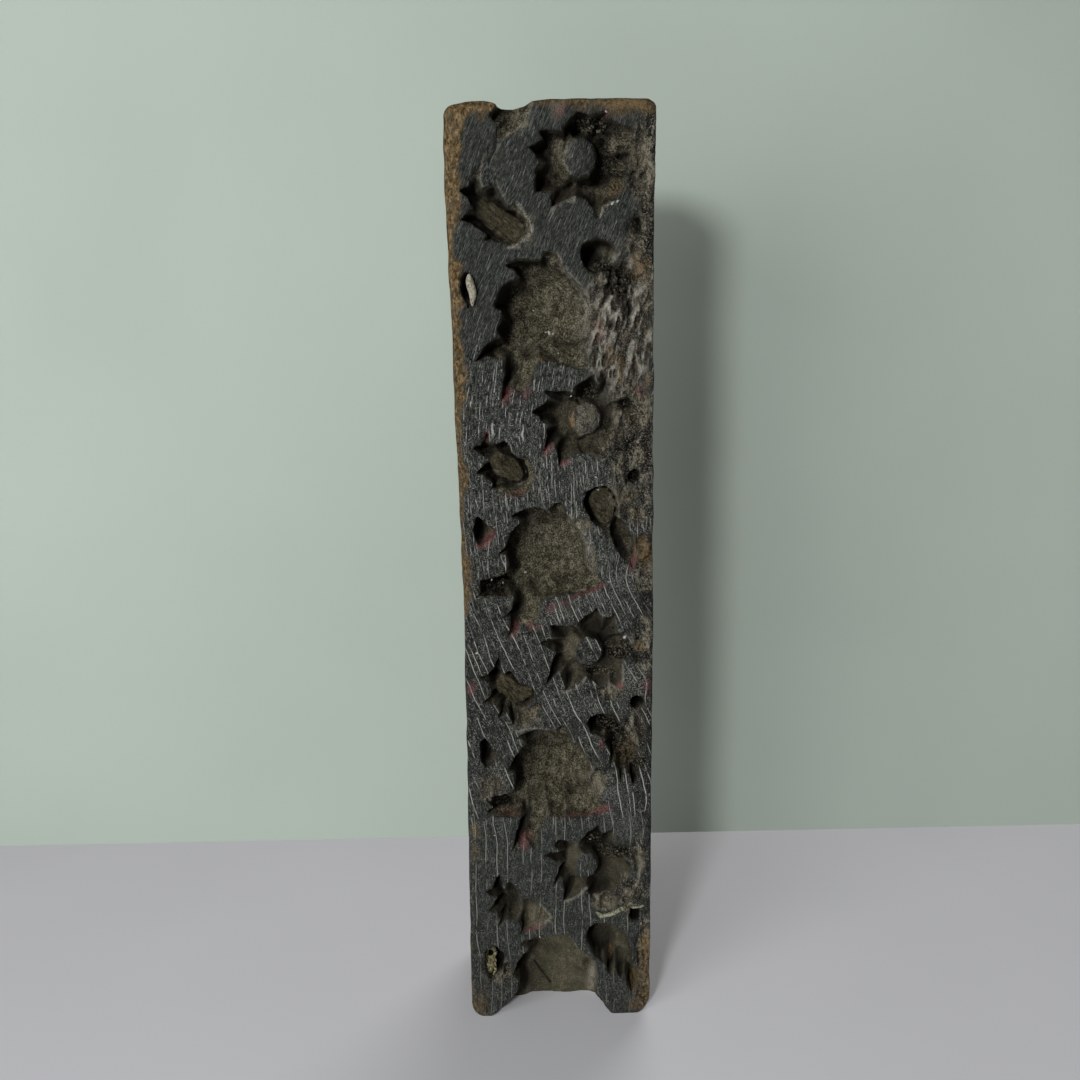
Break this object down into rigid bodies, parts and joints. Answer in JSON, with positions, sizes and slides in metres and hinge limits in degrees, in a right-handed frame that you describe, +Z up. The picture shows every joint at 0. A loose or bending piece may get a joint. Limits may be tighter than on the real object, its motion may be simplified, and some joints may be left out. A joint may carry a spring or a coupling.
{
  "type": "textile printing block",
  "caption": "Narrow hardwood border block for hand-printing cloth: sunk flowers, blooms and leaves in a dye-dark face, a nailed wooden grip on the back, standing on its end.",
  "frame": {"origin": "middle of the object's width and depth, on the plane of its standing end", "axes": "+Z up along the block's length, -Y out of the carved printing face, +X to the right seen from the front"},
  "size_m": [0.05, 0.06, 0.242],
  "materials": {
    "dyed_wood": "worn, dye-stained and dusty, bare brown at the edges",
    "grip_wood": "hand-polished by use, stained",
    "nail_iron": "dark rusted"
  },
  "bodies": {
    "root": {"printing_block": "dyed_wood", "handle": "grip_wood", "upper_left_nail": "nail_iron", "upper_right_nail": "nail_iron", "lower_left_nail": "nail_iron", "lower_right_nail": "nail_iron"}
  },
  "joints": []
}
